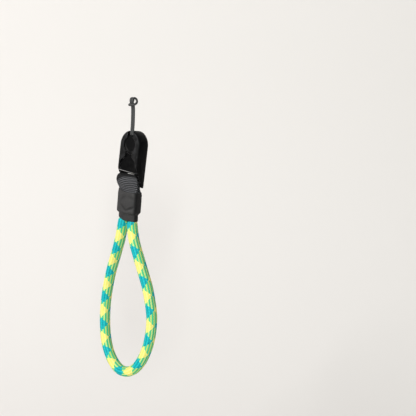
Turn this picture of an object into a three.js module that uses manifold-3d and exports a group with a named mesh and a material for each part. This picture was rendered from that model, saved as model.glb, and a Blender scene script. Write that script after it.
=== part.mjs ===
// Rope camera wrist strap: a braided rope loop in a rubber sleeve, a webbing tab, a quick-release link,
// and the link's disc on a thin cord that ends in a hitch for a camera's ring.
// Millimetres, +Z up. The origin is the middle of the ring's place in the hitch; the link's face is to -Y.
import * as THREE from "three";
import Module from "manifold-3d";

const wasm = await Module();
wasm.setup();

const degree = Math.PI / 180;
const gap = 0.3; // between pieces that touch

// Driving sizes
const rope = {
  width: 8.8, // in the loop's plane, where the bend flattens it
  depth: 10, // across that plane
  pinched: 7.7, // inside the sleeve
  swellFrom: -101.5,
  swellTo: -104.5,
  sides: 12,
  steps: 80,
  crowding: 0.4,
};
const cord = { diameter: 2, sides: 8, steps: 80 };

// The loop's middle line, from one rope end in the sleeve round to the other.
const ropeRoute = [
  [-3.8, -1, -80],
  [-4.4, -1, -89],
  [-5, -1.1, -97.5],
  [-5.5, -1.2, -101],
  [-6.4, -1.4, -106],
  [-9.1, -1.4, -118],
  [-14, -0.6, -130],
  [-19.9, 0.6, -142],
  [-25.3, 1.7, -154],
  [-29, 2.3, -166],
  [-31.3, 2.4, -178],
  [-32, 2.1, -190],
  [-30.8, 1.4, -202],
  [-28, 0.6, -213],
  [-22.4, -0.4, -223.5],
  [-13.2, -1.5, -232],
  [-0.2, -2, -236.5],
  [13, -1.5, -232.7],
  [21.9, -0.4, -224],
  [27.9, 0.6, -213],
  [31.2, 1.4, -202],
  [32.5, 2.1, -190],
  [31.9, 2.4, -178],
  [28.9, 2.3, -166],
  [25.1, 1.7, -154],
  [20, 0.6, -142],
  [15, -0.6, -130],
  [9, -0.7, -118],
  [4, 0.6, -106],
  [3.3, 1, -101],
  [3.1, 1.1, -97.5],
  [3.5, 1, -89],
  [4, 1, -80],
];

// Half of the thin cord's line, from the middle of the hitch's bight round the ring's place and down behind
// the bight; the other half mirrors it.
const hitchRoute = [
  [0, -2.9, -3.9],
  [1.6, -2.8, -3.8],
  [3, -1.6, -3.4],
  [3.3, 0.3, -2.5],
  [2.7, 1.8, -0.8],
  [2, 1.6, 1.1],
  [1.5, 0, 2],
  [1.25, -1.6, 1.1],
  [1.15, -1.9, -0.9],
  [1.15, -0.6, -3.3],
  [1.15, 0, -6.5],
];
const strandRoute = [
  [0.1, 0.2, -14],
  [0.1, 0.2, -20],
  [0, 0.1, -25],
  [0.1, 0.1, -27.8],
  [0.1, 0.3, -28.7],
];
const strandOffset = 1.15;

// The link: local axes in its group have the disc's middle at the origin and the face at -Y.
const link = {
  width: 23.2,
  depth: 11.6,
  top: 12,
  bottom: -35.6,
  corner: 1.3,
  lip: 0.9,
  place: [-1.4, 3.9, -37.1],
  lean: 4 * degree,
  tilt: -2 * degree,
  yaw: 5 * degree,
};
const disc = { radius: 7.8, thickness: 2.6, rim: 1.2, dish: 0.9 };
const chamber = { radius: disc.radius + 0.4, opening: 6.9, throat: 3.8, notch: 3.5 };
const ramp = { halfWidth: 9.3, top: -8.9, foot: -15, deep: 1.9, shallow: 1.4, end: -23.8 };
const bar = { radius: 1.6, y: 1.3, z: -30.5, earGap: 9.8 };

// The sleeve leans and turns with the rope ends in it, wide over the webbing and narrow below it.
const sleeve = {
  top: -77,
  bottom: -101.3,
  topX: 0.3,
  lean: 3.5 * degree,
  yaw: 14 * degree,
  wall: 0.85,
  rimWall: 0.5,
  taper: 3, // from each rim to the full wall
  cover: { halfWidth: 9.25, halfDepth: 6.1, corner: 4.3 },
  collar: { halfWidth: 8.35, halfDepth: 4.15, corner: 4.15 },
  stepFrom: -96.5,
  stepTo: -93.5,
  flare: 0.35, // of the collar's rim
  flareFrom: -98.5,
  // each rim is cut higher on the left
  topRise: 2,
  topRiseFrom: -86,
  bottomRise: 2.2,
  bottomRiseFrom: -97,
};
const webbing = { thickness: 1, tail: -93, steps: 56, columns: 9 };

function point([x, y, z]) {
  return new THREE.Vector3(x, y, z);
}

function material(color, roughness, metalness = 0) {
  return new THREE.MeshStandardMaterial({ color, roughness, metalness });
}

function named(name, geometry, finish) {
  const mesh = new THREE.Mesh(geometry, finish);
  mesh.name = name;
  return mesh;
}

function smoothPath(points) {
  return new THREE.CatmullRomCurve3(points.map(point), false, "centripetal");
}

// An ellipse of points round a middle, from its two half axes.
function ellipse(middle, first, second, sides) {
  return Array.from({ length: sides }, (_, k) => {
    const angle = (k / sides) * 2 * Math.PI;
    return middle.clone().addScaledVector(first, Math.cos(angle)).addScaledVector(second, Math.sin(angle));
  });
}

// A solid through loops of points, each with the same count. A ring joins its last loop to its first;
// otherwise each end is closed by a strip between the loop's two halves.
function solidThroughLoops(loops, ring = false) {
  const count = loops[0].length;
  const positions = loops.flat().flatMap((p) => p.toArray());
  const index = [];
  const quad = (a, b, c, d) => index.push(a, b, c, a, c, d);
  const joins = ring ? loops.length : loops.length - 1;
  for (let i = 0; i < joins; i++) {
    const next = (i + 1) % loops.length;
    for (let k = 0; k < count; k++) {
      const side = (k + 1) % count;
      quad(i * count + k, i * count + side, next * count + side, next * count + k);
    }
  }
  if (!ring) {
    const last = (loops.length - 1) * count;
    for (let k = 0; k < count / 2 - 1; k++) {
      const far = count - 1 - k;
      quad(k, far, far - 1, k + 1);
      quad(last + k, last + k + 1, last + far - 1, last + far);
    }
  }
  const geometry = new THREE.BufferGeometry();
  geometry.setAttribute("position", new THREE.Float32BufferAttribute(positions, 3));
  geometry.setIndex(index);
  return geometry;
}

function toManifold(geometry) {
  const soup = geometry.index ? geometry.toNonIndexed() : geometry;
  const mesh = new wasm.Mesh({
    numProp: 3,
    vertProperties: Float32Array.from(soup.attributes.position.array),
    triVerts: Uint32Array.from({ length: soup.attributes.position.count }, (_, i) => i),
  });
  mesh.merge();
  return new wasm.Manifold(mesh);
}

function toGeometry(solid) {
  const mesh = solid.getMesh();
  const geometry = new THREE.BufferGeometry();
  geometry.setAttribute("position", new THREE.Float32BufferAttribute(mesh.vertProperties, 3));
  geometry.setIndex(Array.from(mesh.triVerts));
  return geometry;
}

// An outline in x and z, carried from the y of its front to the y of its back.
function frontCut(shape, front, back, bevel = 0) {
  const geometry = new THREE.ExtrudeGeometry(shape, {
    depth: back - front - 2 * bevel,
    bevelEnabled: bevel > 0,
    bevelThickness: bevel,
    bevelSize: bevel,
    bevelOffset: -bevel,
    bevelSegments: 3,
    curveSegments: 10,
  });
  geometry.rotateX(Math.PI / 2);
  geometry.translate(0, back - bevel, 0);
  return toManifold(geometry);
}

// An outline in y and z, carried the same way to both sides of x = 0.
function sideCut(shape, halfWidth) {
  const geometry = new THREE.ExtrudeGeometry(shape, {
    depth: 2 * halfWidth,
    bevelEnabled: false,
    curveSegments: 8,
  });
  geometry.rotateX(Math.PI / 2);
  geometry.rotateZ(Math.PI / 2);
  geometry.translate(-halfWidth, 0, 0);
  return toManifold(geometry);
}

function block(x0, x1, y0, y1, z0, z1) {
  const box = new THREE.BoxGeometry(x1 - x0, y1 - y0, z1 - z0);
  box.translate((x0 + x1) / 2, (y0 + y1) / 2, (z0 + z1) / 2);
  return toManifold(box);
}

// The link seen from the front: a round top and straight sides down to the ears.
function linkOutline() {
  const half = link.width / 2;
  const shape = new THREE.Shape();
  shape.moveTo(half, link.bottom);
  shape.lineTo(half, 0);
  shape.bezierCurveTo(half, 6.4, 5.8, link.top, 0, link.top);
  shape.bezierCurveTo(-5.8, link.top, -half, 6.4, -half, 0);
  shape.lineTo(-half, link.bottom);
  shape.closePath();
  return shape;
}

// The link seen from the side: its ears run back to a rounded tip that carries the bar.
function linkProfile() {
  const half = link.depth / 2;
  const shape = new THREE.Shape();
  shape.moveTo(-half, link.top + 1);
  shape.lineTo(-half, -16);
  shape.bezierCurveTo(-half, -20, -half + 0.9, -22, -half + 2.3, -24.3);
  shape.lineTo(1.9, -33);
  shape.quadraticCurveTo(3, link.bottom, 4, link.bottom);
  shape.quadraticCurveTo(half, link.bottom, half, -33.5);
  shape.lineTo(half, link.top + 1);
  shape.closePath();
  return shape;
}

// The opening below the disc: a throat that spreads in two S curves to the ramp's width.
function rampOutline() {
  const shape = new THREE.Shape();
  shape.moveTo(-chamber.throat, -3);
  shape.lineTo(-chamber.throat, ramp.top);
  shape.bezierCurveTo(-chamber.throat, -12.5, -ramp.halfWidth, -11.5, -ramp.halfWidth, -17.5);
  shape.lineTo(-ramp.halfWidth, ramp.end - 2);
  shape.lineTo(ramp.halfWidth, ramp.end - 2);
  shape.lineTo(ramp.halfWidth, -17.5);
  shape.bezierCurveTo(ramp.halfWidth, -11.5, chamber.throat, -12.5, chamber.throat, ramp.top);
  shape.lineTo(chamber.throat, -3);
  shape.closePath();
  return shape;
}

function linkHousing() {
  const front = -link.depth / 2;
  const lipBack = front + link.lip;
  const floor = lipBack + disc.thickness + 2 * gap;
  const outside = front - 2;
  const body = frontCut(linkOutline(), front, -front, link.corner)
    .intersect(sideCut(linkProfile(), link.width));

  const round = (radius) => new THREE.Shape().absarc(0, 0, radius, 0, 2 * Math.PI, false);
  const opening = frontCut(round(chamber.opening), outside, lipBack + 0.1);
  const pocket = frontCut(round(chamber.radius), lipBack, floor);
  const notch = block(-chamber.notch, chamber.notch, outside, floor - 0.6, 5, link.top + 2);

  // the ramp's face lies just under the front, and its top edge keeps the disc in its chamber
  const wedge = new THREE.Shape();
  wedge.moveTo(outside, 0);
  wedge.lineTo(outside, ramp.end - 2);
  wedge.lineTo(front + ramp.shallow, ramp.end - 2);
  wedge.lineTo(front + ramp.shallow, ramp.foot);
  wedge.lineTo(front + ramp.deep, ramp.top);
  wedge.lineTo(front + ramp.deep, 0);
  wedge.closePath();
  const rampCut = frontCut(rampOutline(), outside, floor).intersect(sideCut(wedge, link.width));

  const webbingSpace = new THREE.Shape();
  webbingSpace.moveTo(outside, ramp.end);
  webbingSpace.lineTo(outside, link.bottom - 2);
  webbingSpace.lineTo(-outside, link.bottom - 2);
  webbingSpace.lineTo(-outside, ramp.end - 1.5);
  webbingSpace.lineTo(front + 4, ramp.end - 0.8);
  webbingSpace.lineTo(front + 2.8, ramp.end);
  webbingSpace.closePath();

  const crossBar = new THREE.CylinderGeometry(bar.radius, bar.radius, 2 * bar.earGap + 1, 16);
  crossBar.rotateZ(Math.PI / 2);
  crossBar.translate(0, bar.y, bar.z);

  const housing = body
    .subtract(opening)
    .subtract(pocket)
    .subtract(notch)
    .subtract(rampCut)
    .subtract(sideCut(webbingSpace, bar.earGap))
    .add(toManifold(crossBar));
  return named("link_housing", toGeometry(housing), material(0x1b1a1c, 0.5));
}

function anchorDisc() {
  const front = link.depth / 2 - link.lip - gap;
  const back = front - disc.thickness;
  const edge = 0.4;
  const profile = [
    [0, back],
    [disc.radius - edge, back],
    [disc.radius, back + edge],
    [disc.radius, front - edge],
    [disc.radius - edge, front],
    [disc.radius - disc.rim, front],
    [disc.radius - disc.rim - disc.dish, front - disc.dish],
    [0, front - disc.dish],
  ].map(([radius, height]) => new THREE.Vector2(radius, height));
  const geometry = new THREE.LatheGeometry(profile, 32);
  geometry.rotateX(Math.PI);
  return named("anchor_disc", geometry, material(0x26262a, 0.4));
}

function anchorCord() {
  const radius = cord.diameter / 2;
  const strand = strandRoute.map(([x, y, z]) => [x + strandOffset, y, z]);
  const farStrand = strandRoute.map(([x, y, z]) => [x - strandOffset, y, z]);
  const mirrored = hitchRoute.slice(1).map(([x, y, z]) => [-x, y, z]);
  const route = [...farStrand.reverse(), ...mirrored.reverse(), ...hitchRoute, ...strand];
  const path = smoothPath(route);
  const { normals, binormals } = path.computeFrenetFrames(cord.steps);
  const loops = path.getSpacedPoints(cord.steps).map((middle, i) =>
    ellipse(middle, normals[i].multiplyScalar(radius), binormals[i].multiplyScalar(radius), cord.sides));
  return named("anchor_cord", solidThroughLoops(loops), material(0x232326, 0.8));
}

// The sleeve's middle line at a height, and a section across it.
function sleeveMiddle(z) {
  return sleeve.topX + (z - sleeve.top) * Math.tan(sleeve.lean);
}

// Half of the round-cornered section's width and depth at a height, inside the wall.
function sleeveInside(z) {
  const blend = THREE.MathUtils.smoothstep(z, sleeve.stepFrom, sleeve.stepTo);
  const flare = sleeve.flare * THREE.MathUtils.smoothstep(-z, -sleeve.flareFrom, -sleeve.bottom);
  return {
    halfWidth: THREE.MathUtils.lerp(sleeve.collar.halfWidth, sleeve.cover.halfWidth, blend) + flare,
    halfDepth: THREE.MathUtils.lerp(sleeve.collar.halfDepth, sleeve.cover.halfDepth, blend) + flare,
    corner: THREE.MathUtils.lerp(sleeve.collar.corner, sleeve.cover.corner, blend),
  };
}

// The wall thins to its rims.
function sleeveWall(z) {
  const fromRim = Math.min(sleeve.top - z, z - sleeve.bottom);
  const full = THREE.MathUtils.smoothstep(fromRim, 0, sleeve.taper);
  return THREE.MathUtils.lerp(sleeve.rimWall, sleeve.wall, full);
}

// How much higher than its height a point of the sleeve lies, by its place across the section.
function sleeveRise(z, x) {
  const { smoothstep } = THREE.MathUtils;
  const left = smoothstep(-x, 0, sleeve.cover.halfWidth);
  const top = sleeve.topRise * smoothstep(z, sleeve.topRiseFrom, sleeve.top);
  const bottom = sleeve.bottomRise * smoothstep(-z, -sleeve.bottomRiseFrom, -sleeve.bottom);
  return left * (top + bottom);
}

function sleeveLoop(z, wall) {
  const { halfWidth, halfDepth, corner } = sleeveInside(z);
  const loop = [];
  const perCorner = 7;
  for (let quarter = 0; quarter < 4; quarter++) {
    const sideX = quarter === 0 || quarter === 3 ? 1 : -1;
    const sideY = quarter < 2 ? 1 : -1;
    for (let i = 0; i < perCorner; i++) {
      const angle = (quarter + i / (perCorner - 1)) * 90 * degree;
      const x = sideX * (halfWidth - corner) + (corner + wall) * Math.cos(angle);
      const y = sideY * (halfDepth - corner) + (corner + wall) * Math.sin(angle);
      const place = new THREE.Vector3(x, y, sleeveRise(z, x) - x * Math.tan(sleeve.lean));
      place.applyAxisAngle(new THREE.Vector3(0, 0, 1), sleeve.yaw);
      loop.push(place.add(new THREE.Vector3(sleeveMiddle(z), 0, z)));
    }
  }
  return loop;
}

function sleeveTube() {
  const { top, bottom, stepFrom, stepTo } = sleeve;
  const step = [0, 1, 2, 3].map((part) => THREE.MathUtils.lerp(stepFrom, stepTo, part / 3));
  const heights = [bottom, bottom + 1.5, bottom + 3, ...step, -92, -86, -80, top - 1.5, top];
  const outer = heights.map((z) => sleeveLoop(z, sleeveWall(z)));
  const inner = heights.map((z) => sleeveLoop(z, 0)).reverse();
  return named("sleeve", solidThroughLoops([...outer, ...inner], true), material(0x3a393a, 0.75));
}

// The webbing's middle line, front tail first: half its width, how far its edges curl in, and the slope
// and yaw of its width, in degrees.
const webbingRoute = [
  { x: 0.5, y: -4.85, z: webbing.tail, half: 8.6, curl: 2, slope: -3.5, yaw: 14 },
  { x: 0.8, y: -4.85, z: -87.5, half: 8.6, curl: 2, slope: -3.5, yaw: 14 },
  { x: 1.1, y: -4.85, z: -82, half: 8.6, curl: 2, slope: -3.5, yaw: 14 },
  { x: 1.5, y: -4.9, z: -77, half: 8.7, curl: 2, slope: -2, yaw: 14 },
  { x: 2.3, y: -5.3, z: -73.3, half: 8.7, curl: 1.9, slope: 4, yaw: 18 },
  { x: 2.2, y: -6.5, z: -69, half: 9.3, curl: 1.9, slope: 5, yaw: 21 },
  { x: 1.7, y: -6.5, z: -64.9, half: 9.5, curl: 1.5, slope: 3, yaw: 21 },
  { x: -0.6, y: -4.1, z: -62.4, half: 9.2, curl: 0.6, slope: -3, yaw: 13 },
  { x: -3, y: 0, z: -62.1, half: 8.8, curl: 0, slope: -4, yaw: 6 },
  { x: -3.5, y: 3.6, z: -63.7, half: 8.9, curl: 0, slope: -4, yaw: 5 },
  { x: -3.8, y: 6.3, z: -66.4, half: 8.9, curl: 0, slope: -4, yaw: 5 },
  { x: -3.8, y: 6.9, z: -70, half: 8.5, curl: 0.1, slope: -4, yaw: 6 },
  { x: -2, y: 5.4, z: -73.6, half: 7.9, curl: 1.6, slope: -4, yaw: 11 },
  { x: -0.8, y: 4.9, z: -77, half: 8.6, curl: 2, slope: -3.5, yaw: 14 },
  { x: -1.1, y: 4.85, z: -82, half: 8.6, curl: 2, slope: -3.5, yaw: 14 },
  { x: -1.4, y: 4.85, z: -87.5, half: 8.6, curl: 2, slope: -3.5, yaw: 14 },
  { x: -1.8, y: 4.85, z: webbing.tail, half: 8.6, curl: 2, slope: -3.5, yaw: 14 },
];

function webbingTab() {
  const { steps, columns } = webbing;
  const through = (pick) => new THREE.CatmullRomCurve3(webbingRoute.map(pick), false, "catmullrom");
  const middle = through(({ x, y, z }) => new THREE.Vector3(x, y, z));
  const shape = through(({ half, curl }) => new THREE.Vector3(half, curl, 0));
  const turn = through(({ slope, yaw }) => new THREE.Vector3(slope, yaw, 0));
  const loops = [];
  for (let i = 0; i <= steps; i++) {
    const place = middle.getPoint(i / steps);
    const { x: half, y: curl } = shape.getPoint(i / steps);
    const { x: slope, y: yaw } = turn.getPoint(i / steps);
    const across = new THREE.Vector3(Math.cos(slope * degree), 0, Math.sin(slope * degree));
    across.applyAxisAngle(new THREE.Vector3(0, 0, 1), yaw * degree);
    const outward = across.clone().cross(middle.getTangent(i / steps)).normalize();
    const loop = [];
    for (const side of [1, -1]) {
      for (let k = 0; k < columns; k++) {
        const part = side * (2 * k / (columns - 1) - 1);
        const lift = side * webbing.thickness / 2 - curl * Math.abs(part) ** 3;
        loop.push(place.clone().addScaledVector(across, part * half).addScaledVector(outward, lift));
      }
    }
    loops.push(loop);
  }
  return named("webbing_tab", solidThroughLoops(loops), material(0x48484d, 0.9));
}

// The sleeve grips the rope's ends, and the rope swells to its full section just below it. The stations
// lie closer together towards the ends.
function ropeLoop() {
  const path = smoothPath(ropeRoute);
  const front = new THREE.Vector3(0, -1, 0);
  const loops = [];
  for (let i = 0; i <= rope.steps; i++) {
    const part = i / rope.steps;
    const at = part - rope.crowding * Math.sin(2 * Math.PI * part) / (2 * Math.PI);
    const middle = path.getPointAt(at);
    const along = path.getTangentAt(at);
    const side = along.clone().cross(front).normalize();
    const across = side.clone().cross(along);
    const free = THREE.MathUtils.smoothstep(-middle.z, -rope.swellFrom, -rope.swellTo);
    across.multiplyScalar(THREE.MathUtils.lerp(rope.pinched, rope.depth, free) / 2);
    side.multiplyScalar(THREE.MathUtils.lerp(rope.pinched, rope.width, free) / 2);
    loops.push(ellipse(middle, across, side, rope.sides));
  }
  return named("rope_loop", solidThroughLoops(loops), material(0x3fc3a0, 0.8));
}

const linkGroup = new THREE.Group();
linkGroup.position.set(...link.place);
linkGroup.rotation.set(link.tilt, link.lean, link.yaw, "ZXY");
linkGroup.add(linkHousing(), anchorDisc());

const strap = new THREE.Group();
strap.add(
  ropeLoop(),
  sleeveTube(),
  webbingTab(),
  linkGroup,
  anchorCord(),
);

export default strap;
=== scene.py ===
import bmesh
import bpy
import numpy as np
from mathutils import Matrix


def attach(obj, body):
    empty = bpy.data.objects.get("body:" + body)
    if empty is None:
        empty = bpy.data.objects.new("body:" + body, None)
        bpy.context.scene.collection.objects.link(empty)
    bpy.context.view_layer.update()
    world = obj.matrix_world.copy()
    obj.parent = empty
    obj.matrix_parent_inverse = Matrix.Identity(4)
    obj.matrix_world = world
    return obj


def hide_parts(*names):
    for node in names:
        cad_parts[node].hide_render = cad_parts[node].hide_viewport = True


# the looks of a rope wrist strap for a camera; lengths are in metres where a note doesn't say otherwise
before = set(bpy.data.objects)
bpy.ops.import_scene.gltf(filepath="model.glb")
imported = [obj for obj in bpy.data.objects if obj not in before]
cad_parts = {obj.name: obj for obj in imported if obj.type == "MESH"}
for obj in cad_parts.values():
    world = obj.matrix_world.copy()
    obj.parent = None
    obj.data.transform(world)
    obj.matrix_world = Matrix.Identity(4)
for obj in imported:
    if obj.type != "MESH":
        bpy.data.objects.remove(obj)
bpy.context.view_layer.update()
mm = 0.001
colourMix = {"output": 2, "data_type": "RGBA"}  # of a Mix node: its factor is input 0, its colours 6 and 7


def hexColour(code):
    # sRGB hex to linear red, green, blue and alpha
    parts = np.array([int(code[i:i + 2], 16) / 255 for i in (1, 3, 5)])
    linear = np.where(parts <= 0.04045, parts / 12.92, ((parts + 0.055) / 1.055) ** 2.4)
    return (*linear.tolist(), 1.0)


def setInputs(tree, node, inputs):
    # an input that is given a socket is linked to it, any other holds the value
    for socket, value in inputs.items():
        if isinstance(value, bpy.types.NodeSocket):
            tree.links.new(value, node.inputs[socket])
        else:
            node.inputs[socket].default_value = value


def addNode(tree, kind, inputs=None, output=0, **settings):
    # adds a node and returns one of its outputs
    node = tree.nodes.new(kind)
    for name, value in settings.items():
        setattr(node, name, value)
    setInputs(tree, node, inputs or {})
    return node.outputs[output]


def newMaterial(name):
    # a material of one Principled shader; returns it, its tree and the shader
    finish = bpy.data.materials.new(name)
    finish.use_nodes = True
    return finish, finish.node_tree, finish.node_tree.nodes["Principled BSDF"]


def makePiece(name, points, faces, finish, caps=(), uv=None, values=None):
    # one mesh from arrays: faces is quads by point number, caps are closing faces,
    # uv is one pair for each corner of the quads, values are named numbers for each face or each point
    mesh = bpy.data.meshes.new(name)
    mesh.from_pydata(points.tolist(), [], faces.tolist() + [list(map(int, cap)) for cap in caps])
    if uv is not None:
        corners = np.zeros((len(mesh.loops), 2))
        corners[:faces.size] = uv.reshape(-1, 2)
        mesh.uv_layers.new(name="yarn").uv.foreach_set("vector", corners.ravel())
    for label, numbers in (values or {}).items():
        perPoint = len(numbers) == len(points)
        layer = mesh.attributes.new(label, "FLOAT", "POINT" if perPoint else "FACE")
        padded = np.zeros(len(layer.data))
        padded[:len(numbers)] = numbers
        layer.data.foreach_set("value", padded)
    mesh.shade_smooth()
    mesh.materials.append(finish)
    mesh.validate()
    piece = bpy.data.objects.new(name, mesh)
    bpy.context.scene.collection.objects.link(piece)
    return piece


def gridFaces(rows, columns, aroundColumns=True, aroundRows=False):
    # quads over a grid of points; it may close on itself along its columns or its rows
    row, column = np.meshgrid(
        np.arange(rows if aroundRows else rows - 1),
        np.arange(columns if aroundColumns else columns - 1),
        indexing="ij",
    )
    nextRow, nextColumn = (row + 1) % rows, (column + 1) % columns
    corners = [
        row * columns + column,
        row * columns + nextColumn,
        nextRow * columns + nextColumn,
        nextRow * columns + column,
    ]
    return np.stack(corners, axis=-1).reshape(-1, 4)


def smoothStep(value, low, high):
    # from 0 at low to 1 at high by 3 * t^2 - 2 * t^3
    t = np.clip((value - low) / (high - low), 0, 1)
    return t * t * (3 - 2 * t)


def lengthAlong(line):
    # the length from a line's start to each of its points
    steps = np.linalg.norm(np.diff(line, axis=0), axis=1)
    return np.concatenate([[0], np.cumsum(steps)])


def atLengths(line, lengths):
    # the points of a line at given lengths from its start
    along = lengthAlong(line)
    return np.stack([np.interp(lengths, along, line[:, i]) for i in range(line.shape[1])], axis=1)


def smoothRoute(points, perSpan=40, even=False):
    # on each span a cubic whose end slopes weigh the neighbouring chords by the root of their length,
    # or all alike
    known = np.array(points, dtype=float)
    known = np.vstack([2 * known[0] - known[1], known, 2 * known[-1] - known[-2]])
    root = np.sqrt(np.linalg.norm(np.diff(known, axis=0), axis=1))[:, None]
    root = np.ones_like(root) if even else root
    before, start, end, after = known[:-3], known[1:-2], known[2:-1], known[3:]
    first, middle, last = root[:-2], root[1:-1], root[2:]
    slopeIn = ((start - before) / first - (end - before) / (first + middle)) * middle + end - start
    slopeOut = end - start - ((after - start) / (middle + last) - (after - end) / last) * middle
    t = np.linspace(0, 1, perSpan, endpoint=False)[None, :, None]
    start, end, slopeIn, slopeOut = (array[:, None, :] for array in (start, end, slopeIn, slopeOut))
    curve = (
        start
        + t * slopeIn
        + t**2 * (3 * (end - start) - 2 * slopeIn - slopeOut)
        + t**3 * (2 * (start - end) + slopeIn + slopeOut)
    )
    return np.vstack([curve.reshape(-1, known.shape[1]), known[-2]])


def crossAxes(line, front):
    # across a line at each of its points: the part of "front" square to the line, and the cross product
    # of the line's way with that
    along = np.gradient(line, axis=0)
    along /= np.linalg.norm(along, axis=1, keepdims=True)
    front = front - np.sum(along * front, axis=1, keepdims=True) * along
    front /= np.linalg.norm(front, axis=1, keepdims=True)
    return front, np.cross(along, front)


# the hanging strap stands in the left third of a square picture
cameraView = {
    "place": (0.4243, -0.3425, -0.0113),
    "azimuth": 44,  # degrees round from the front, towards +X
    "elevation": 8,  # degrees, looking down
    "roll": 3.1,  # degrees
    "lens": 55.21,  # in millimetres, for that sensor
    "sensor": 36,
    "nearest": 0.01,
    "farthest": 20,
}


def makeCamera(view):
    # looks from that side towards the strap, its level line turned by the roll
    azimuth, elevation, roll = (np.radians(view[key]) for key in ("azimuth", "elevation", "roll"))
    back = np.array([
        np.sin(azimuth) * np.cos(elevation),
        -np.cos(azimuth) * np.cos(elevation),
        np.sin(elevation),
    ])
    level = np.array([np.cos(azimuth), np.sin(azimuth), 0])
    right = level * np.cos(roll) + np.cross(back, level) * np.sin(roll)
    axes = np.stack([right, np.cross(back, right), back], axis=1)
    lens = bpy.data.cameras.new("camera")
    lens.lens = view["lens"]
    lens.sensor_width = view["sensor"]
    lens.clip_start = view["nearest"]
    lens.clip_end = view["farthest"]
    camera = bpy.data.objects.new("camera", lens)
    camera.matrix_world = Matrix.LocRotScale(view["place"], Matrix(axes.tolist()).to_quaternion(), None)
    bpy.context.scene.collection.objects.link(camera)
    bpy.context.scene.camera = camera


makeCamera(cameraView)
print("camera placed")


def fibreStreaks(tree, filaments):
    # noise drawn out along each yarn, filaments is how often it changes in a millimetre across and along;
    # returns it, and the same with the yarn's own shade added, which holds both its random tone and the
    # painted shade or light of its lean
    ownShare = 0.3
    place = addNode(tree, "ShaderNodeUVMap", uv_map="yarn")
    place = addNode(tree, "ShaderNodeMapping", {"Vector": place, "Scale": (*filaments, 1)})
    streak = addNode(tree, "ShaderNodeTexNoise", {"Vector": place, "Scale": 1, "Detail": 2})
    shade = addNode(tree, "ShaderNodeAttribute", output="Fac", attribute_name="shade")
    toneAndLeanShade = addNode(tree, "ShaderNodeMath", {0: shade, 1: ownShare, 2: streak}, operation="MULTIPLY_ADD")
    return streak, toneAndLeanShade


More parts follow.
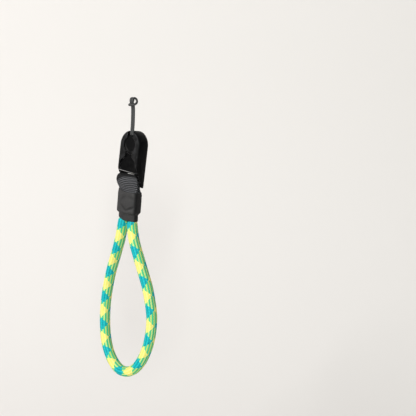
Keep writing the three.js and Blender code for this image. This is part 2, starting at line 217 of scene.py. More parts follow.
def braidedTube(name, line, halves, braid, finish, twist=0.0, slip=((0, 0), (1, 0))):
    # a sheath of yarns in two directions, each over two and under two of the other;
    # halves is half the section along crossAxes' front and side, at each point of the line;
    # slip is how far the braid has slid along the line, at lengths from its start;
    # points lie at angle = full turn * step / (4 * yarns) and length = pitch * (row + 1/2) / (4 * yarns),
    # even steps on even rows and odd ones between, so that every edge of a face lies on an edge or the
    # middle of a yarn; each point is sunk by lift * (1 - swell), swell being sin^roundness over a float
    yarns, lift = braid["yarns"], braid["lift"]
    around, rowLength = 2 * yarns, braid["pitch"] / (4 * yarns)
    rows = int(lengthAlong(line)[-1] / rowLength)
    lengths = (np.arange(rows) + 0.5) * rowLength
    lengths = lengths + np.interp(lengths, *np.array(slip).T)
    middle = atLengths(line, lengths)
    halfAt = [np.interp(lengths, lengthAlong(line), half)[:, None] for half in halves]
    twistAt = np.interp(lengths, lengthAlong(line), np.broadcast_to(twist, len(line)))
    front, side = crossAxes(middle, np.array([0, -1, 0]))

    row, place = np.meshgrid(np.arange(rows), np.arange(around), indexing="ij")
    step = row % 2 + 2 * place
    right, left = (step + row) // 2, (step - row) // 2  # half yarns crossed in each direction
    roundness = 0.6  # below 1 a float rises steeply at its ends
    swell = np.zeros(row.shape)
    for across, crossed, start in ((right, left, 0), (left, right, -2)):
        since = (crossed / 2 + across // 2 + start) % 4  # yarns crossed since this one came up
        shown = (across % 2 == 1) & (since > 0) & (since < 2)
        swell = np.where(shown, np.sin(np.pi * np.clip(since, 0, 2) / 2) ** roundness, swell)
    angle = np.pi * step / around + twistAt[:, None]
    ahead = (halfAt[0] - lift * (1 - swell)) * np.cos(angle)
    aside = (halfAt[1] - lift * (1 - swell)) * np.sin(angle)
    points = middle[:, None, :] + ahead[..., None] * front[:, None, :] + aside[..., None] * side[:, None, :]

    row, place = row[1:-1], place[1:-1]  # each face: left, low, right and high corner
    beside = (place + row % 2) % around
    faces = np.stack([
        row * around + place,
        (row - 1) * around + beside,
        row * around + (place + 1) % around,
        (row + 1) * around + beside,
    ], axis=-1).reshape(-1, 4)
    cellRight, cellLeft = right[1:-1].ravel(), left[1:-1].ravel()
    yarnRight, yarnLeft = (cellRight // 2) % yarns, (cellLeft // 2) % yarns
    rightShows = (yarnRight + yarnLeft) % 4 < 2
    yarn = np.where(rightShows, yarnRight, yarnLeft)
    across = np.where(rightShows, cellRight % 2, cellLeft % 2)
    crossed = np.where(rightShows, cellLeft, cellRight)
    # the pattern's place, in millimetres across and along the yarn that shows
    yarnWidth = 2 * np.pi * halfAt[0].max() / yarns / 2**0.5
    corner = np.stack([
        np.where(rightShows[:, None], [0, 0, 1, 1], [0, 1, 1, 0]) + across[:, None],
        np.where(rightShows[:, None], [0, 1, 1, 0], [0, 0, 1, 1]) + crossed[:, None],
    ], axis=-1) * yarnWidth / mm / 2
    yarnApart = 7.3  # every yarn reads its own part of the pattern
    corner[..., 0] += yarn[:, None] * yarnApart

    ends = []
    for end, inner in ((0, 1), (rows - 1, rows - 2)):
        k = np.arange(around)
        between = (k + end % 2) % around
        triangle = np.stack([end * around + k, end * around + (k + 1) % around, inner * around + between], 1)
        ends += (triangle if end == 0 else triangle[:, ::-1]).tolist()
        rim = end * around + (k[::-1] if end == 0 else k)
        ends.append(rim.tolist())
    # painted light and shade: the yarns that lean one way are painted lighter, as if catching the light, and
    # those that lean the other way painted darker, on top of each yarn's own random tone
    dice = np.random.default_rng(braid["seed"])
    shade = dice.uniform(-1, 1, 2 * yarns)
    ownShade, paintedLeanShade = 0.5, 0.9
    paintedLean = np.where(rightShows, paintedLeanShade, -paintedLeanShade)
    values = {
        "accent": (yarn >= yarns / 2).astype(float),  # half of each direction's yarns are the second colour
        "mixed": ((yarnRight >= yarns / 2) != (yarnLeft >= yarns / 2)).astype(float),
        "shade": ownShade * shade[yarn + np.where(rightShows, 0, yarns)] + paintedLean,
        "crown": swell.ravel(),
    }
    return makePiece(name, points.reshape(-1, 3), faces, finish, ends, corner, values)


# the loop is kernmantle rope of 9 to 10 mm, teal and yellow, flattened a little by its bend
rope = {
    "width": 0.0088,  # in the loop's plane
    "depth": 0.01,  # across it
    "pinched": 0.0077,  # inside the sleeve
    "swellFrom": -0.1015,  # heights between which it swells from pinched to its full section
    "swellTo": -0.1045,
    "samples": 2000,  # points along its middle line
    "twist": (-10, -9, -6, -8, -4, 1, 1),  # degrees, at even steps from the left end to the right
    "braid": {"yarns": 20, "pitch": 0.0254, "lift": 0.0005, "seed": 4},
    # how far the braid has slid along the rope at lengths from its start
    "slip": (
        (0, 0), (0.02, -0.0006), (0.03, -0.0014), (0.046, -0.003), (0.069, -0.0024), (0.09, -0.001),
        (0.12, 0), (0.18, 0), (0.2, 0.0014), (0.24, 0.0012), (0.272, 0.0013), (0.3, 0.0018),
        (0.335, 0.0024), (0.35, 0), (1, 0),
    ),
    "filaments": (9, 0.9),  # in a millimetre: 0.1 mm across, drawn out to about 1 mm along
    "fibreBump": {"Strength": 0.35, "Distance": 0.0001},
    "gap": 0.68,  # painted shade between the yarns: how bright the colour is there
    # the deep colours: a yarn's own darker tone, and the painted shade of yarns that lean away from the
    # light
    "teal": "#1FCFD2",
    "tealDarkAndShaded": "#068798",
    "yellow": "#FBF4A0",
    "yellowDarkAndShaded": "#EEE462",
    "both": "#2AD080",  # painted light: the green that light takes going through and bouncing between the two colours
    "through": (0.7, 0.36),  # how much of that painted green a teal yarn and a yellow one take where they cross
    "route": [
        (-0.0038, -0.001, -0.08), (-0.0044, -0.001, -0.089), (-0.005, -0.0011, -0.0975),
        (-0.0055, -0.0012, -0.101), (-0.0064, -0.0014, -0.106), (-0.0091, -0.0014, -0.118),
        (-0.014, -0.0006, -0.13), (-0.0199, 0.0006, -0.142), (-0.0253, 0.0017, -0.154),
        (-0.029, 0.0023, -0.166), (-0.0313, 0.0024, -0.178), (-0.032, 0.0021, -0.19),
        (-0.0308, 0.0014, -0.202), (-0.028, 0.0006, -0.213), (-0.0224, -0.0004, -0.2235),
        (-0.0132, -0.0015, -0.232), (-0.0002, -0.002, -0.2365), (0.013, -0.0015, -0.2327),
        (0.0219, -0.0004, -0.224), (0.0279, 0.0006, -0.213), (0.0312, 0.0014, -0.202),
        (0.0325, 0.0021, -0.19), (0.0319, 0.0024, -0.178), (0.0289, 0.0023, -0.166),
        (0.0251, 0.0017, -0.154), (0.02, 0.0006, -0.142), (0.015, -0.0006, -0.13),
        (0.009, -0.0007, -0.118), (0.004, 0.0006, -0.106), (0.0033, 0.001, -0.101),
        (0.0031, 0.0011, -0.0975), (0.0035, 0.001, -0.089), (0.004, 0.001, -0.08),
    ],
}


def ropeMaterial():
    # braided nylon: bright dyed yarns of fine filaments, dull, with a painted sheen by the lean of each
    # float, painted shade between the yarns and a painted green where the colours cross
    finish, tree, shader = newMaterial("braided nylon")
    streak, toneAndLeanShade = fibreStreaks(tree, rope["filaments"])
    accent, mixed, crown = (
        addNode(tree, "ShaderNodeAttribute", output="Fac", attribute_name=label)
        for label in ("accent", "mixed", "crown"))
    # each yarn between its deep and bright colour, by its own tone and the painted light and shade of its
    # lean
    teal, yellow = (
        addNode(tree, "ShaderNodeMix", {0: toneAndLeanShade, 6: hexColour(deep), 7: hexColour(bright)}, **colourMix)
        for deep, bright in ((rope["tealDarkAndShaded"], rope["teal"]), (rope["yellowDarkAndShaded"], rope["yellow"])))
    colour = addNode(tree, "ShaderNodeMix", {0: accent, 6: teal, 7: yellow}, **colourMix)
    # painted light: where the two colours cross, a green is painted, as of light going through both
    onTeal, onYellow = rope["through"]
    share = addNode(tree, "ShaderNodeMapRange", {"Value": accent, "To Min": onTeal, "To Max": onYellow})
    through = addNode(tree, "ShaderNodeMath", {0: mixed, 1: share}, operation="MULTIPLY")
    colour = addNode(tree, "ShaderNodeMix", {0: through, 6: colour, 7: hexColour(rope["both"])}, **colourMix)
    # painted shade: the colour darkened towards gap where a yarn sinks between its neighbours
    depth = addNode(tree, "ShaderNodeMapRange", {"Value": crown, "To Min": rope["gap"], "To Max": 1})
    colour = addNode(
        tree, "ShaderNodeMix", {0: 1.0, 6: colour, 7: depth}, **colourMix, blend_type="MULTIPLY")
    bump = addNode(tree, "ShaderNodeBump", {"Height": streak, **rope["fibreBump"]})
    setInputs(tree, shader, {
        "Base Color": colour, "Normal": bump, "Roughness": 0.6, "Specular IOR Level": 0.15})
    return finish


def ropeLoop():
    # the braided tube along the smooth route; below the sleeve's rim its section swells from the pinched
    # round to the full oval
    line = smoothRoute(rope["route"])
    total = lengthAlong(line)[-1]
    even = atLengths(line, np.linspace(0, total, rope["samples"]))
    rimPlace = np.minimum(even[:, 0] * 2, 0)  # the left strand lies under the raised side of the rim
    rise = sleeveRise(even[:, 2], rimPlace)
    wide = smoothStep(rise - even[:, 2], -rope["swellFrom"], -rope["swellTo"])
    halves = [(rope["pinched"] + wide * (rope[size] - rope["pinched"])) / 2 for size in ("depth", "width")]
    share, stops = np.linspace(0, 1, rope["samples"]), np.linspace(0, 1, len(rope["twist"]))
    twist = np.radians(np.interp(share, stops, rope["twist"]))
    twist = twist - np.pi / 2  # a column of whole diamonds faces the front
    piece = braidedTube("rope_braid", even, halves, rope["braid"], ropeMaterial(), twist, rope["slip"])
    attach(piece, "root")
    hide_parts("rope_loop")


# a rubber tube shrunk over the webbing tails and the rope ends
sleeve = {
    "top": -0.077,
    "bottom": -0.1013,
    "topX": 0.0003,  # of its middle at the top
    "lean": 3.5,  # degrees
    "yaw": 14,  # degrees
    "points": (150, 192),  # down the sleeve and round it
    "lipPoints": 5,
    "wall": 0.00085,
    "rimWall": 0.0005,
    "taper": 0.003,  # from each rim to the full wall
    "wide": (0.0101, 0.00695, 3.4),  # half width, half depth and squareness over the webbing
    "narrow": (0.0092, 0.005, 2.4),  # the same over the ropes alone
    "stepFrom": -0.0965,  # narrow below this height
    "stepTo": -0.0935,  # and wide above this one
    "flare": 0.00035,  # of the collar's rim
    "flareFrom": -0.0985,
    # each rim is cut higher on the left, and what lies next to it follows from the second height on
    "topRise": 0.002,
    "topRiseFrom": -0.086,
    "bottomRise": 0.0022,
    "bottomRiseFrom": -0.097,
    "riseAcross": 0.00925,  # from the middle to where a rim is at its highest
    # folds: side (-1 front, 1 back), place across, height, slant in degrees, half length, half width,
    # and depth
    "folds": [
        (-1, -0.0010, -0.0900, -40, 0.0036, 0.0011, -0.00050),
        (-1, 0.0055, -0.0902, 25, 0.0042, 0.0012, -0.00055),
        (-1, -0.0022, -0.0817, 55, 0.0036, 0.0013, -0.00025),
        (-1, 0.0060, -0.0808, -33, 0.0036, 0.0013, -0.00022),
        (-1, 0.0014, -0.0862, 20, 0.0034, 0.0026, 0.00045),
        (-1, 0.0030, -0.0935, 12, 0.0050, 0.0010, 0.00030),
        (-1, -0.0070, -0.0880, 80, 0.0050, 0.0014, 0.00030),
        (1, 0.0020, -0.0860, 30, 0.0060, 0.0013, -0.00050),
        (1, -0.0030, -0.0905, -40, 0.0045, 0.0010, -0.00045),
        (1, 0.0050, -0.0815, 15, 0.0050, 0.0010, -0.00035),
        (1, -0.0040, -0.0830, -60, 0.0040, 0.0018, 0.00035),
    ],
    "foldFade": 0.003,  # from the edge between front and back to a fold's full depth
    "foldClear": 0.002,  # that the folds fade out above the step
    # of the collar: depth of its waves, how many go round it, and radians in a metre down it
    "waves": (0.00012, 9, 900),
    "rubber": "#2A292B",
    "worn": "#3A3939",
    # the dark colour: painted shade in the folds and on the right side, and the darker collar
    "shadeAndCollarColour": "#080809",
    "cloudScale": 160,  # patches of 6 mm
    "grainScale": 2200,  # grain of 0.45 mm
    "grainBump": {"Strength": 0.25, "Distance": 0.0002},
    # how far the colour goes to the dark one: painted shade in a fold of that depth, painted shade on the
    # right side, away from the light, between two shares of the half width, and darker on the collar
    "foldShade": 0.75,
    "foldDepth": 0.0005,
    "sideShade": 0.9,
    "sideFrom": 0.78,
    "sideTo": 0.97,
    "collarDark": 0.3,
}


def sleeveRise(height, across):
    # how much higher than its height a point of the sleeve lies, by its place across the section
    top = sleeve["topRise"] * smoothStep(height, sleeve["topRiseFrom"], sleeve["top"])
    bottom = sleeve["bottomRise"] * smoothStep(-height, -sleeve["bottomRiseFrom"], -sleeve["bottom"])
    return smoothStep(-across, 0, sleeve["riseAcross"]) * (top + bottom)


def rubberMaterial():
    # heat-shrunk rubber: matte and dark, faintly cloudy, with a fine grain that scatters the light, and
    # painted shade in its folds and on its right side, darker on the collar
    finish, tree, shader = newMaterial("shrunk rubber")
    place = addNode(tree, "ShaderNodeTexCoord", output="Object")
    cloud, grain = (
        addNode(tree, "ShaderNodeTexNoise", {"Vector": place, "Scale": scale, "Detail": detail})
        for scale, detail in ((sleeve["cloudScale"], 3), (sleeve["grainScale"], 2)))
    colour = addNode(
        tree, "ShaderNodeMix",
        {0: cloud, 6: hexColour(sleeve["rubber"]), 7: hexColour(sleeve["worn"])}, **colourMix)
    # painted shade in the folds and on the right side, and the darker collar
    shadeAndCollarDark = addNode(tree, "ShaderNodeAttribute", output="Fac", attribute_name="shadeAndCollarDark")
    colour = addNode(
        tree, "ShaderNodeMix", {0: shadeAndCollarDark, 6: colour, 7: hexColour(sleeve["shadeAndCollarColour"])}, **colourMix)
    bump = addNode(tree, "ShaderNodeBump", {"Height": grain, **sleeve["grainBump"]})
    setInputs(tree, shader, {
        "Base Color": colour, "Normal": bump, "Roughness": 0.6, "IOR": 1.5, "Specular IOR Level": 0.2})
    return finish


def sleevePiece():
    # around the section: x = a * cos^(2/n), y = b * sin^(2/n); a, b and n change at the step;
    # each fold moves the wall by depth * e^-(u^2 + v^2), u and v being lengths along and across it
    rows, columns = sleeve["points"]
    height = np.linspace(sleeve["top"], sleeve["bottom"], rows)[:, None]
    angle = 2 * np.pi * (np.arange(columns)[None, :] / columns)
    blend = smoothStep(height, sleeve["stepFrom"], sleeve["stepTo"])
    halfWidth, halfDepth, square = (
        low + blend * (high - low) for high, low in zip(sleeve["wide"], sleeve["narrow"]))
    flare = smoothStep(-height, -sleeve["flareFrom"], -sleeve["bottom"])
    thin = (sleeve["wall"] - sleeve["rimWall"]) * (1 - smoothStep(
        np.minimum(sleeve["top"] - height, height - sleeve["bottom"]), 0, sleeve["taper"]))
    halfWidth = halfWidth + sleeve["flare"] * flare - thin
    halfDepth = halfDepth + sleeve["flare"] * flare - thin
    acrossShare, deepShare = (
        np.sign(wave) * np.abs(wave) ** (2 / square) for wave in (np.cos(angle), np.sin(angle)))
    x, y = halfWidth * acrossShare, halfDepth * deepShare
    outward = np.stack([np.cos(angle) * halfDepth, np.sin(angle) * halfWidth], axis=-1)
    outward /= np.linalg.norm(outward, axis=-1, keepdims=True)

    relief = np.zeros((rows, columns))
    for face, foldX, foldHeight, slant, halfLength, foldWidth, depth in sleeve["folds"]:
        cosine, sine = np.cos(np.radians(slant)), np.sin(np.radians(slant))
        right, up = x - foldX, height - foldHeight
        lengthwise = (right * cosine + up * sine) / halfLength
        crosswise = (up * cosine - right * sine) / foldWidth
        shape = np.exp(-lengthwise**2 - crosswise**2)
        relief += depth * shape * smoothStep(face * y, 0, sleeve["foldFade"])
    relief *= smoothStep(height, sleeve["stepFrom"], sleeve["stepTo"] + sleeve["foldClear"])
    # painted shade: darker in the folds' hollows and on the right side away from the light; darker on the
    # collar as well
    shadeInFolds = sleeve["foldShade"] * np.clip(-relief / sleeve["foldDepth"], 0, 1)
    shadeAtSide = sleeve["sideShade"] * smoothStep(x / halfWidth, sleeve["sideFrom"], sleeve["sideTo"])
    onCollar = sleeve["collarDark"] * smoothStep(-height, -sleeve["stepTo"], -sleeve["stepFrom"])
    shadeAndCollarDark = np.maximum(np.maximum(shadeInFolds, shadeAtSide), onCollar)
    waveDepth, wavesRound, wavesDown = sleeve["waves"]
    waves = waveDepth * np.sin(wavesRound * angle + wavesDown * height)
    relief = relief + waves * smoothStep(-height, -sleeve["stepTo"], -sleeve["bottom"])

    def wallAt(offset):
        # the section's points that far outwards, leant, turned and moved into place
        lean, yaw = np.radians(sleeve["lean"]), np.radians(sleeve["yaw"])
        across = x + outward[..., 0] * (relief + offset)
        deep = y + outward[..., 1] * (relief + offset)
        high = height - across * np.tan(lean) + sleeveRise(height, across)
        middle = sleeve["topX"] + (height - sleeve["top"]) * np.tan(lean)
        return np.stack([
            across * np.cos(yaw) - deep * np.sin(yaw) + middle,
            across * np.sin(yaw) + deep * np.cos(yaw),
            high,
        ], axis=-1)

    # the wall's section: outside downwards, round the lower lip, inside upwards, round the upper lip
    half = sleeve["wall"] / 2
    lip = np.linspace(0, np.pi, sleeve["lipPoints"] + 2)[1:-1]
    outer, inner = wallAt(0), wallAt(-2 * half)
    lower = [wallAt(half * (np.cos(t) - 1))[-1] - [0, 0, half * np.sin(t)] for t in lip]
    upper = [wallAt(-half * (np.cos(t) + 1))[0] + [0, 0, half * np.sin(t)] for t in lip]
    points = np.concatenate([outer, np.array(lower), inner[::-1], np.array(upper)])
    faces = gridFaces(len(points), columns, aroundRows=True)[:, ::-1]
    dark = np.zeros(points.shape[:2])
    dark[:rows] = shadeAndCollarDark
    values = {"shadeAndCollarDark": dark.ravel()}
    piece = makePiece("sleeve_rubber", points.reshape(-1, 3), faces, rubberMaterial(), values=values)
    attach(piece, "root")
    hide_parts("sleeve")


ropeLoop()
print("rope loop braided")
sleevePiece()
print("sleeve shrunk on")


# ribbed nylon tape folded over the link's bar
webbing = {
    "thickness": 0.0011,
    "rib": 0.00155,  # between weft ribs
    "ribHeight": 0.00035,
    "sag": 0.0013,  # of a rib between the edges
    "slant": 0.0013,  # of a rib, up towards the left edge
    "thread": 0.0011,  # between warp threads
    "edgeBulge": 0.06,  # of the round edges, as a share of the half width
    "pointsPerRib": 6,
    "pointsAcross": 92,
    "pointsRoundEdge": 6,
    "ribbed": (-0.0648, -0.0625),  # heights between which the ribs fade out towards the bar
    "ribbedDrop": 0.003,  # of those heights at the left edge
    "halfOverBar": 0.009,  # half the width there
    "dropFrom": 0.0026,  # left of the middle, where the drop starts
    "dropOver": 0.0064,  # from there to where it is full
    # a rib's height is partly its own and partly its threads', and a thread's where the tape turns is
    # partly its own and partly its ribs'
    "ribShare": (0.65, 0.35),
    "threadShare": (0.4, 0.3),
    "wearAndHighlightPower": 4,  # keeps the lighter colour, wear and painted highlight, to the crowns
    "turnDarkening": 0.85,  # how much darker the crowns are where the tape turns
    # the crowns go towards light, partly as wear and partly as painted highlight
    "dark": "#0C0C0E",
    "light": "#7A7A80",
    "fluffScale": 1800,  # loose fibres of 0.55 mm
    "fluffBump": {"Strength": 0.4, "Distance": 0.0002},
    # middle line from the front tail over the bar to the back tail, in millimetres: x, y, z, half
    # the width, how far the edges curl in, and the slope and yaw of the width in degrees
    "route": [
        (0.5, -4.85, -93, 8.6, 2, -3.5, 14), (0.8, -4.85, -87.5, 8.6, 2, -3.5, 14),
        (1.1, -4.85, -82, 8.6, 2, -3.5, 14), (1.5, -4.9, -77, 8.7, 2, -2, 14),
        (2.3, -5.3, -73.3, 8.7, 1.9, 4, 18), (2.2, -6.5, -69, 9.3, 1.9, 5, 21),
        (1.7, -6.5, -64.9, 9.5, 1.5, 3, 21), (-0.4, -4.1, -62.4, 9.1, 0.6, -1, 13),
        (-2.7, 0, -62.1, 8.7, 0, -1.5, 6), (-3.5, 3.6, -63.7, 8.9, 0, -4, 5),
        (-3.8, 6.3, -66.4, 8.9, 0, -4, 5), (-3.8, 6.9, -70, 8.5, 0.1, -4, 6),
        (-2, 5.4, -73.6, 7.9, 1.6, -4, 11), (-0.8, 4.9, -77, 8.6, 2, -3.5, 14),
        (-1.1, 4.85, -82, 8.6, 2, -3.5, 14), (-1.4, 4.85, -87.5, 8.6, 2, -3.5, 14),
        (-1.8, 4.85, -93, 8.6, 2, -3.5, 14),
    ],
}


def webbingMaterial():
    # nylon webbing: dull black-grey, the crowns of the ribs painted lighter, partly as wear and partly as
    # painted highlight
    finish, tree, shader = newMaterial("ribbed nylon webbing")
    crown = addNode(tree, "ShaderNodeAttribute", output="Fac", attribute_name="crown")
    place = addNode(tree, "ShaderNodeTexCoord", output="Object")
    fluff = addNode(
        tree, "ShaderNodeTexNoise", {"Vector": place, "Scale": webbing["fluffScale"], "Detail": 3})
    colour = addNode(
        tree, "ShaderNodeMix",
        {0: crown, 6: hexColour(webbing["dark"]), 7: hexColour(webbing["light"])}, **colourMix)
    bump = addNode(tree, "ShaderNodeBump", {"Height": fluff, **webbing["fluffBump"]})
    setInputs(tree, shader, {
        "Base Color": colour, "Normal": bump, "Roughness": 0.7, "Specular IOR Level": 0.2})
    return finish


def webbingPiece():
    # each section is a flat loop whose edges curl in by curl * part^3; weft ribs, |cos| of the length
    # along, run across it and warp threads bulge between them, set over by one at every rib
    table = smoothRoute(webbing["route"], perSpan=60, even=True)
    line = table[:, :3] * mm
    length = lengthAlong(line)[-1]
    stations = int(length / webbing["rib"] * webbing["pointsPerRib"])
    along = np.linspace(0, length, stations)
    middle = atLengths(line, along)
    halfWidth, curl, slope, yaw = (np.interp(along, lengthAlong(line), column) for column in table.T[3:])
    halfWidth, curl = halfWidth[:, None] * mm, curl * mm
    slope, yaw = np.radians(slope), np.radians(yaw)
    across = np.stack([np.cos(slope) * np.cos(yaw), np.cos(slope) * np.sin(yaw), np.sin(slope)], axis=1)
    direction = np.gradient(middle, axis=0)
    direction /= np.linalg.norm(direction, axis=1, keepdims=True)
    outward = np.cross(across, direction)
    outward /= np.linalg.norm(outward, axis=1, keepdims=True)

    # across the loop: the outer face from +1 to -1, the round edge, the inner face back, the other edge
    flat = webbing["pointsAcross"]
    edgeAngle = np.linspace(0, np.pi, webbing["pointsRoundEdge"] + 2)[1:-1]
    part = np.linspace(1, -1, flat)
    bulge = np.sin(edgeAngle) * webbing["edgeBulge"]
    side = np.concatenate([np.ones(flat), np.cos(edgeAngle), -np.ones(flat), -np.cos(edgeAngle)])
    reach = np.concatenate([part, -1 - bulge, -part, 1 + bulge])
    # the ribs sag between the edges, and where the tape turns over the bar its warp shows more
    sagging = along[:, None] - webbing["sag"] * reach**2 + webbing["slant"] * reach
    ribs = np.abs(np.cos(np.pi * sagging / webbing["rib"]))
    pick = np.floor(sagging / webbing["rib"] + 0.5)
    threads = 0.5 + 0.5 * np.cos(2 * np.pi * reach * halfWidth / webbing["thread"] + np.pi * pick)
    toLeft = (-reach * webbing["halfOverBar"] - webbing["dropFrom"]) / webbing["dropOver"]
    drop = webbing["ribbedDrop"] * np.clip(toLeft, 0, 1)
    turning = smoothStep(middle[:, 2:] + drop, *webbing["ribbed"])
    ribOwn, ribThread = webbing["ribShare"]
    threadOwn, threadRib = webbing["threadShare"]
    crown = (ribs * (ribOwn + ribThread * threads) * (1 - turning)
             + threads * (threadOwn + threadRib * ribs) * turning)
    half = webbing["thickness"] / 2
    lift = side * (half - webbing["ribHeight"] * (1 - crown)) - curl[:, None] * np.abs(reach) ** 3
    points = (middle[:, None, :] + across[:, None, :] * (reach * halfWidth)[..., None]
              + outward[:, None, :] * lift[..., None])
    # the crowns painted lighter, partly wear and partly painted highlight, and darker where the tape turns
    # over the bar
    worn = crown ** webbing["wearAndHighlightPower"] * (1 - webbing["turnDarkening"] * turning)
    columns = len(side)
    faces = gridFaces(stations, columns)
    values = {"crown": worn.ravel()[faces].mean(axis=1)}
    caps = [np.arange(columns)[::-1], (stations - 1) * columns + np.arange(columns)]
    piece = makePiece("webbing", points.reshape(-1, 3), faces, webbingMaterial(), caps, values=values)
    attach(piece, "root")
    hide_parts("webbing_tab")


webbingPiece()
print("webbing folded")


# the quick-release link
link = {
    "place": (-0.0014, 0.0039, -0.0371),  # of its middle
    "tilt": -2,  # degrees, as lean and yaw
    "lean": 4,
    "yaw": 5,
    "depth": 0.0116,  # from front to back
    "lip": 0.0009,  # in front of the disc
    "bevel": 0.0006,
    "bevelSegments": 3,
    "sharp": 32,  # degrees between faces whose edge is rounded
    "joined": 0.00002,  # points nearer than this are one
    "flat": 1.5,  # degrees between faces that become one
    # name, colour, worn colour, roughness and specular level of the body, its edges with a painted highlight
    # and wear, a painted highlight line across the ramp, and the front of the rim painted lighter as if lit
    "finishes": [
        ("moulded glass-filled nylon", "#050506", "#0B0B0C", 0.45, 0.06),
        ("nylon edge, painted highlight and wear", "#4A494C", "#828085", 0.35, 0.5),
        ("nylon with painted highlight", "#828085", "#A9A6A1", 0.35, 0.5),
        ("nylon front, painted lighter as lit", "#111112", "#29292B", 0.45, 0.12),
    ],
    # the ramp's lower end, from the link's middle: height, half width and front
    "rampEnd": -0.0238,
    "rampHalf": 0.009,
    "rampFront": -0.0044,
    "rampBelow": -0.002,  # between these two, from that end, lie the middles of the ramp's faces
    "rampAbove": 0.0095,
    "rampWithin": 0.0006,  # and this near to its front
    "highlightLine": 0.0005,  # height of the painted highlight line
    "highlightRise": 0.0008,  # of the line across the ramp, up to the left
    "rimWithin": 0.0002,  # of the link's front, where the rim's faces lie
    "pitScale": 3000,  # pits of 0.33 mm
    "pitBump": {"Strength": 0.15, "Distance": 0.0001},
    "rubScale": 220,  # rubbed places of 4.5 mm
    "rubFrom": 0.4,  # of the noise, from untouched to rubbed
    "rubTo": 0.7,
}


def linkAxes():
    # the link hangs leant about Y, tilted about X, then turned about Z
    a, b, c = (np.radians(link[key]) for key in ("lean", "tilt", "yaw"))
    lean = np.array([[np.cos(a), 0, np.sin(a)], [0, 1, 0], [-np.sin(a), 0, np.cos(a)]])
    tilt = np.array([[1, 0, 0], [0, np.cos(b), -np.sin(b)], [0, np.sin(b), np.cos(b)]])
    yaw = np.array([[np.cos(c), -np.sin(c), 0], [np.sin(c), np.cos(c), 0], [0, 0, 1]])
    return yaw @ tilt @ lean


def linkPlaced(points):
    # from the link's own axes to where it hangs
    return points @ linkAxes().T + np.array(link["place"])


def mouldedMaterial(name, base, worn, roughness, gloss):
    # glass-filled nylon or acetal from a spark-eroded mould: satin and finely pitted, and where it has a
    # worn colour, rubbed to that in places
    finish, tree, shader = newMaterial(name)
    place = addNode(tree, "ShaderNodeTexCoord", output="Object")
    colour = hexColour(base)
    if worn:
        rub = addNode(tree, "ShaderNodeTexNoise", {"Vector": place, "Scale": link["rubScale"], "Detail": 4})
        limits = {"From Min": link["rubFrom"], "From Max": link["rubTo"]}
        amount = addNode(tree, "ShaderNodeMapRange", {"Value": rub, **limits})
        colour = addNode(tree, "ShaderNodeMix", {0: amount, 6: colour, 7: hexColour(worn)}, **colourMix)
    pits = addNode(tree, "ShaderNodeTexNoise", {"Vector": place, "Scale": link["pitScale"], "Detail": 2})
    bump = addNode(tree, "ShaderNodeBump", {"Height": pits, **link["pitBump"]})
    setInputs(tree, shader, {
        "Base Color": colour, "Normal": bump,
        "Roughness": roughness, "IOR": 1.5, "Specular IOR Level": gloss})
    return finish


def linkHousing():
    # a copy of the imported solid, its loose triangles joined and its flat faces made whole, then its edges
    # rounded and given the edge finish, a painted highlight with wear
    edgeHighlightFinish, rampHighlightFinish, litFrontFinish = 1, 2, 3  # places in the list of finishes; the body's is 0
    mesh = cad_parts["link_housing"].data.copy()
    mesh.name = "moulded_housing"
    mesh.materials.clear()
    body = bmesh.new()
    body.from_mesh(mesh)
    bmesh.ops.remove_doubles(body, verts=body.verts, dist=link["joined"])
    bmesh.ops.dissolve_limit(
        body, angle_limit=np.radians(link["flat"]), verts=body.verts, edges=body.edges)

    axes, place = linkAxes(), np.array(link["place"])
    corner = np.array([link["rampHalf"], link["rampFront"], link["rampEnd"]])
    upwards = np.array([link["highlightRise"], 0, 2 * link["rampHalf"]])
    upwards /= np.linalg.norm(upwards)

    def inLink(face):
        # a face's middle, from the link's middle along its own axes
        return (np.array(face.calc_center_median()) - place) @ axes

    def rampFaces(low, high):
        # faces of the ramp whose middles lie between two heights over the painted highlight line's lower
        # edge
        middles = [(face, inLink(face) - corner) for face in body.faces]
        return [face for face, middle in middles
                if -2 * link["rampHalf"] < middle[0] < 0
                and abs(middle[1]) < link["rampWithin"]
                and low < middle @ upwards < high]

    # the ramp is cut along both edges of the painted highlight line
    for over in (0, link["highlightLine"]):
        ramp = rampFaces(link["rampBelow"], link["rampAbove"])
        edges = dict.fromkeys(edge for face in ramp for edge in face.edges)
        corners = dict.fromkeys(point for face in ramp for point in face.verts)
        bmesh.ops.bisect_plane(
            body, geom=[*ramp, *edges, *corners],
            plane_co=linkPlaced(corner + over * upwards), plane_no=axes @ upwards)
    # a painted highlight along the ramp's lower end
    for face in rampFaces(0, link["highlightLine"]):
        face.material_index = rampHighlightFinish
    # the front faces painted lighter, as if lit
    for face in body.faces:
        if abs(inLink(face)[1] + link["depth"] / 2) < link["rimWithin"]:
            face.material_index = litFrontFinish
    body.to_mesh(mesh)
    body.free()
    for finish in link["finishes"]:
        mesh.materials.append(mouldedMaterial(*finish))
    mesh.shade_smooth()
    piece = bpy.data.objects.new("moulded_housing", mesh)
    bpy.context.scene.collection.objects.link(piece)
    bevel = piece.modifiers.new("moulded edges", "BEVEL")
    bevel.width = link["bevel"]
    bevel.segments = link["bevelSegments"]
    bevel.limit_method = "ANGLE"
    bevel.angle_limit = np.radians(link["sharp"])
    bevel.harden_normals = True
    bevel.material = edgeHighlightFinish
    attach(piece, "root")
    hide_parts("link_housing")


# the round disc held in the link
disc = {
    "radius": 0.0078,
    "thickness": 0.0026,
    "rim": 0.0012,
    "gap": 0.0003,  # to the lip of the link
    "corner": 0.0005,
    "cornerPoints": 6,
    # the dish's wall, as lengths in from the rim's inner edge and down from the front
    "wall": [(-0.0003, 0.00002), (0, 0.0001), (0.0003, 0.0004), (0.0009, 0.0009), (0.0016, 0.00098)],
    # its floor, as radius and length down from the front
    "floor": [(0.0026, 0.00096), (0.0004, 0.0009)],
    "sides": 96,
    "finish": ("moulded acetal", "#0B0B0C", None, 0.42, 0.08),
}


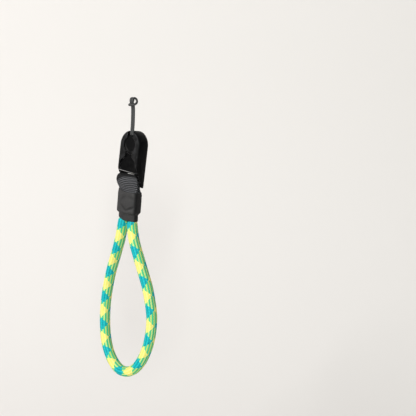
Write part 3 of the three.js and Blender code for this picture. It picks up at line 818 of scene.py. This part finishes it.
def anchorDisc():
    # a profile of radius and height turned about the disc's axis, with rounded corners
    front = link["depth"] / 2 - link["lip"] - disc["gap"]
    back, edge, radius = front - disc["thickness"], disc["corner"], disc["radius"]
    inside = radius - disc["rim"]
    capRadius = disc["floor"][-1][0]

    def rounded(atRadius, atHeight, start):
        turn = start + np.linspace(0, np.pi / 2, disc["cornerPoints"])
        return np.stack([atRadius + edge * np.cos(turn), atHeight + edge * np.sin(turn)], axis=1)

    profile = np.vstack([
        [[capRadius, back]],
        rounded(radius - edge, back + edge, -np.pi / 2),
        rounded(radius - edge, front - edge, 0),
        [[inside - inwards, front - down] for inwards, down in disc["wall"]],
        [[atRadius, front - down] for atRadius, down in disc["floor"]],
    ])
    rows, sides = len(profile), disc["sides"]
    angle = np.arange(sides) / sides * 2 * np.pi
    radii, heights = profile[:, :1], profile[:, 1:]
    grid = np.stack([radii * np.cos(angle), -heights + 0 * angle, radii * np.sin(angle)], axis=-1)
    caps = [np.arange(sides), (rows - 1) * sides + np.arange(sides)[::-1]]
    points, faces = linkPlaced(grid.reshape(-1, 3)), gridFaces(rows, sides)[:, ::-1]
    piece = makePiece("disc", points, faces, mouldedMaterial(*disc["finish"]), caps)
    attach(piece, "root")
    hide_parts("anchor_disc")


# thin cord, doubled, from the disc to its hitch round the camera's ring
cord = {
    "diameter": 0.002,
    "strand": 0.00115,  # each strand's distance from the middle
    "samples": 1200,  # points along its middle line
    "braid": {"yarns": 8, "pitch": 0.007, "lift": 0.00012, "seed": 9},
    "filaments": (12, 1.5),  # in a millimetre: 0.08 mm across, drawn out to about 0.7 mm along
    "fibreBump": {"Strength": 0.3, "Distance": 0.0001},
    # each yarn lies between these by its own tone and by the painted light and shade of its lean
    "fibre": "#151516",
    "fibreLight": "#2B2B2D",
    # half of the line, from the middle of the bight, round the ring's place and down behind the bight
    "hitch": [
        (0, -0.0029, -0.0039), (0.0016, -0.0028, -0.0038), (0.003, -0.0016, -0.0034),
        (0.0033, 0.0003, -0.0025), (0.0027, 0.0018, -0.0008), (0.002, 0.0016, 0.0011),
        (0.0015, 0, 0.002), (0.00125, -0.0016, 0.0011), (0.00115, -0.0019, -0.0009),
        (0.00115, -0.0006, -0.0033), (0.00115, 0, -0.0065),
    ],
    # the middle between the two strands, on down to the disc
    "tails": [
        (0.0001, 0.0002, -0.014), (0.0001, 0.0002, -0.02), (0, 0.0001, -0.025),
        (0.0001, 0.0001, -0.0278), (0.0001, 0.0003, -0.0287),
    ],
}


def cordMaterial():
    # braided aramid-cored cord: dark, slightly waxy fibres, the yarns that lean one way painted lighter, as
    # if lit, and the others darker
    finish, tree, shader = newMaterial("thin braided cord")
    streak, toneAndLeanShade = fibreStreaks(tree, cord["filaments"])
    colour = addNode(
        tree, "ShaderNodeMix",
        {0: toneAndLeanShade, 6: hexColour(cord["fibre"]), 7: hexColour(cord["fibreLight"])}, **colourMix)
    bump = addNode(tree, "ShaderNodeBump", {"Height": streak, **cord["fibreBump"]})
    setInputs(tree, shader, {"Base Color": colour, "Normal": bump, "Roughness": 0.55, "Sheen Weight": 0.2})
    return finish


def anchorCord():
    # the braided tube up the left strand, round the hitch and down the right strand, which mirrors it
    tails = np.array(cord["tails"])
    hitch = np.array(cord["hitch"])
    right = np.vstack([hitch, tails + [cord["strand"], 0, 0]])
    left = np.vstack([hitch[1:] * [-1, 1, 1], tails - [cord["strand"], 0, 0]])
    line = smoothRoute(np.vstack([left[::-1], right]), perSpan=30)
    total = lengthAlong(line)[-1]
    even = atLengths(line, np.linspace(0, total, cord["samples"]))
    halves = [np.full(len(even), cord["diameter"] / 2)] * 2
    piece = braidedTube("cord_braid", even, halves, cord["braid"], cordMaterial())
    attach(piece, "root")
    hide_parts("anchor_cord")


linkHousing()
anchorDisc()
anchorCord()
print("link and cord made")


# a pale floor that rises into a backdrop, two soft lamps and a room
studio = {
    "floor": -0.42,  # height
    "front": -1.6,  # edge of the floor, and the upright back behind the strap
    "back": 0.55,
    "top": 1.6,
    "bend": 0.5,  # radius between floor and back
    "bendPoints": 24,
    "halfWidth": 2.2,
    "paper": "#D3CFCE",
    "glow": 0.07,
    "room": "#FFFFFF",
    "roomLight": 0.2,
    "aim": (0, 0, -0.12),  # of both lamps
    "lamps": {
        "key": {"place": (-0.29, -2.57, 1.6), "size": 1.2, "power": 80, "colour": "#FFFDFA"},
        "fill": {"place": (1.7, -1.5, 0.5), "size": 0.6, "power": 38, "colour": "#F7FFF8"},
    },
}


def makeStudio():
    # a translucent sweep, matte and even, lit from behind as well as from the room: level, a quarter
    # round, then upright, the same across its width, and turned to face the camera
    sweep, tree, shader = newMaterial("backlit acrylic sweep")
    paper = hexColour(studio["paper"])
    setInputs(tree, shader, {
        "Base Color": paper, "Roughness": 0.95, "Specular IOR Level": 0.1,
        "Emission Color": paper, "Emission Strength": studio["glow"]})
    bend = np.linspace(0, np.pi / 2, studio["bendPoints"])
    profile = np.vstack([
        [studio["front"], studio["floor"]],
        np.stack([studio["back"] + studio["bend"] * (np.sin(bend) - 1),
                  studio["floor"] + studio["bend"] * (1 - np.cos(bend))], axis=1),
        [studio["back"], studio["top"]],
    ])
    ends = np.array([-1, 1]) * studio["halfWidth"]
    grid = np.stack(np.broadcast_arrays(ends[None, :], profile[:, :1], profile[:, 1:]), axis=-1)
    turn = np.radians(cameraView["azimuth"])
    spin = np.array([[np.cos(turn), np.sin(turn), 0], [-np.sin(turn), np.cos(turn), 0], [0, 0, 1]])
    faces = gridFaces(len(profile), 2, aroundColumns=False)
    floor = makePiece("floor", grid.reshape(-1, 3) @ spin, faces, sweep)


def addLamp(name, place, size, power, colour):
    # a round lamp that faces the strap
    lamp = bpy.data.lights.new(name, "AREA")
    lamp.shape = "DISK"
    lamp.size = size
    lamp.energy = power
    lamp.color = hexColour(colour)[:3]
    light = bpy.data.objects.new(name, lamp)
    away = np.array(place) - np.array(studio["aim"])
    side = np.cross([0, 0, 1], away)
    axes = np.stack([way / np.linalg.norm(way) for way in (side, np.cross(away, side), away)], axis=1)
    light.matrix_world = Matrix.LocRotScale(place, Matrix(axes.tolist()).to_quaternion(), None)
    bpy.context.scene.collection.objects.link(light)


def lightRoom():
    # an even light from all round
    world = bpy.data.worlds.new("soft room")
    world.use_nodes = True
    setInputs(world.node_tree, world.node_tree.nodes["Background"], {
        "Color": hexColour(studio["room"]), "Strength": studio["roomLight"]})
    bpy.context.scene.world = world


makeStudio()
for name, lamp in studio["lamps"].items():
    addLamp(name, **lamp)
lightRoom()
bpy.context.scene.view_settings.view_transform = "Standard"
print("studio set")
